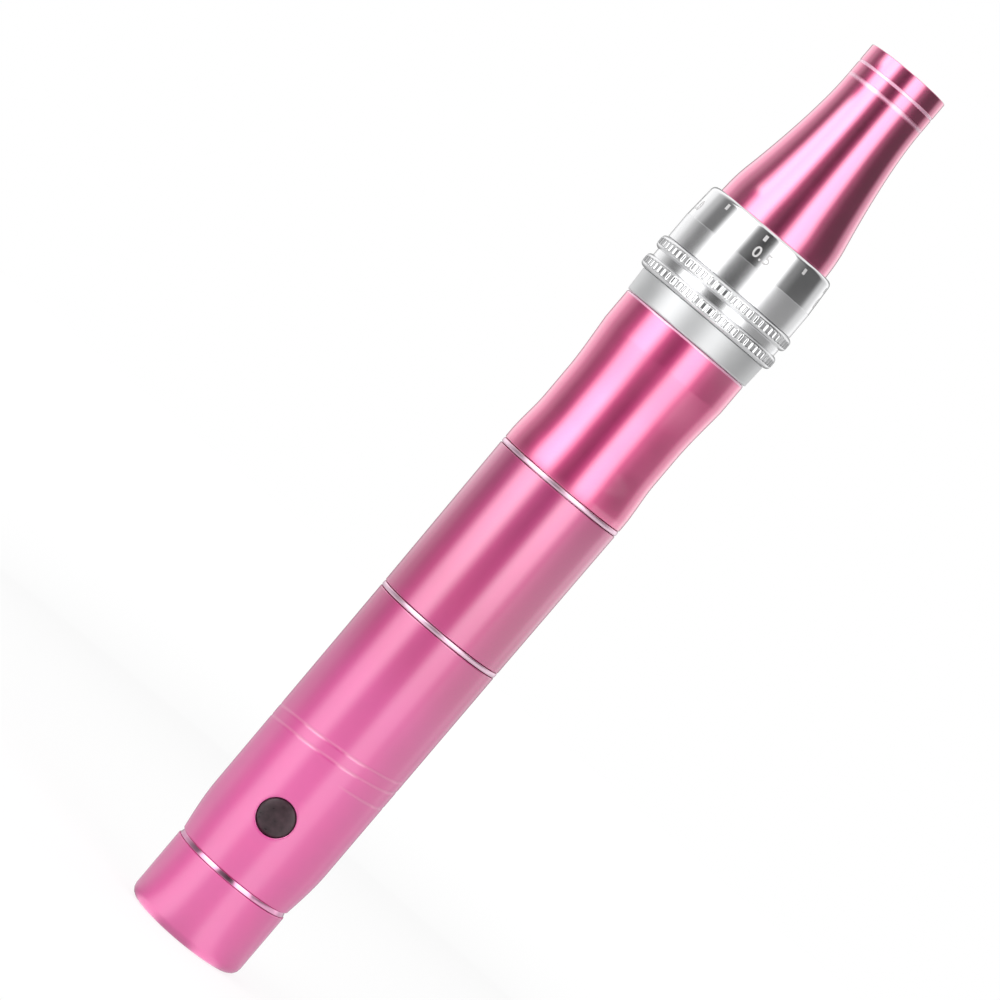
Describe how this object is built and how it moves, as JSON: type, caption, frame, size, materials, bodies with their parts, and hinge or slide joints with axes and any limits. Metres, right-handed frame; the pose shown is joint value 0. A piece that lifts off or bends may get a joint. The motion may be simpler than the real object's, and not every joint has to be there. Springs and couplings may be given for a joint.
{
  "type": "microneedling pen",
  "caption": "Pen-shaped microneedling device with a screw-on tail cap, side button, joined metal tubes, knurled depth dial and tapered nose that takes a needle cartridge.",
  "frame": {"origin": "centre of the tail cap's flat end", "axes": "+Z runs along the pen towards the needle tip, -Y is the side with the button, +X is on the right when the button faces the viewer"},
  "size_m": [0.0222, 0.0222, 0.15],
  "materials": {
    "pink_anodised": "bright pink anodised, nearly mirror-like towards the tip",
    "polished_aluminium": "polished",
    "satin_aluminium": "satin, finely turned",
    "chrome": "mirror chrome",
    "steel": "machined steel",
    "brass": "bare brass",
    "copper_winding": "enamelled copper wire on a laminated core",
    "magnet": "matt dark ferrite",
    "circuit_board": "green solder mask",
    "cell_wrap": "blue shrink wrap",
    "wire": "insulated wire",
    "rubber": "black rubber",
    "white_plastic": "white moulded plastic",
    "black_plastic": "black moulded plastic, semi-gloss"
  },
  "bodies": {
    "body": {"battery_tube": "pink_anodised", "tail_ring": "polished_aluminium", "battery_cell": "cell_wrap", "battery_sleeve": "white_plastic", "positive_contact": "brass", "control_board": "circuit_board", "switch_board": "circuit_board", "switch_body": "steel", "switch_wire_1": "wire", "switch_wire_2": "wire", "rear_joint_ring": "polished_aluminium", "middle_tube": "pink_anodised", "front_joint_ring": "polished_aluminium", "motor_end_bell": "black_plastic", "motor_terminal_1": "brass", "motor_terminal_2": "brass", "motor_wire_1": "wire", "motor_wire_2": "wire", "motor_can": "steel", "motor_magnet": "magnet", "motor_bush": "brass", "motor_mount": "satin_aluminium", "mount_screw_1": "steel", "mount_screw_2": "steel", "return_spring": "steel", "rear_rod_bush": "brass", "front_rod_bush": "brass", "guide_tube": "steel", "front_housing": "pink_anodised", "front_collar": "satin_aluminium", "dial_o_ring": "rubber", "dial_circlip": "steel"},
    "rotor": {"motor_shaft": "steel", "motor_armature": "copper_winding", "drive_cam": "steel", "cam_grub_screw": "steel"},
    "plunger": {"cam_follower": "white_plastic", "drive_rod": "steel"},
    "dial": {"depth_dial": "chrome", "knurled_grip": "chrome"},
    "nose": {"nose_cone": "pink_anodised", "nose_core": "satin_aluminium", "nose_key": "steel", "cartridge_socket": "white_plastic"},
    "button": {"button_cap": "black_plastic", "switch_plunger": "black_plastic"},
    "cap_carrier": {"tail_spring_cup": "brass", "tail_contact_spring": "steel"},
    "cap": {"tail_cap": "pink_anodised", "tail_o_ring": "rubber"}
  },
  "joints": [
    {"name": "motor_spin", "type": "hinge", "parent": "body", "child": "rotor", "pos_m": [0, 0, 0.082], "axis": [0, 0, 1], "continuous": true},
    {"name": "rod_stroke", "type": "slide", "parent": "body", "child": "plunger", "axis": [0, 0, 1], "range_m": [0, 0.0025], "stiffness_N_per_m": 300, "springref_m": -0.004, "deforming": ["return_spring"]},
    {"name": "dial_turn", "type": "hinge", "parent": "body", "child": "dial", "pos_m": [0, 0, 0.1133], "axis": [0, 0, 1], "range_deg": [-80, 240]},
    {"name": "nose_slide", "type": "slide", "parent": "body", "child": "nose", "axis": [0, 0, 1], "range_m": [-0.0015, 0.0005]},
    {"name": "button_press", "type": "slide", "parent": "body", "child": "button", "axis": [0, 1, 0], "range_m": [0, 0.0004], "stiffness_N_per_m": 1500, "springref_m": -0.0004},
    {"name": "cap_slide", "type": "slide", "parent": "body", "child": "cap_carrier", "axis": [0, 0, -1], "range_m": [0, 0.005]},
    {"name": "cap_turn", "type": "hinge", "parent": "cap_carrier", "child": "cap", "pos_m": [0, 0, 0.0102], "axis": [0, 0, -1], "range_deg": [0, 1440]}
  ],
  "couplings": [
    {"joint": "nose_slide", "follows": "dial_turn", "m_per_rad": -0.0003581},
    {"joint": "cap_slide", "follows": "cap_turn", "m_per_rad": 0.00019894}
  ]
}
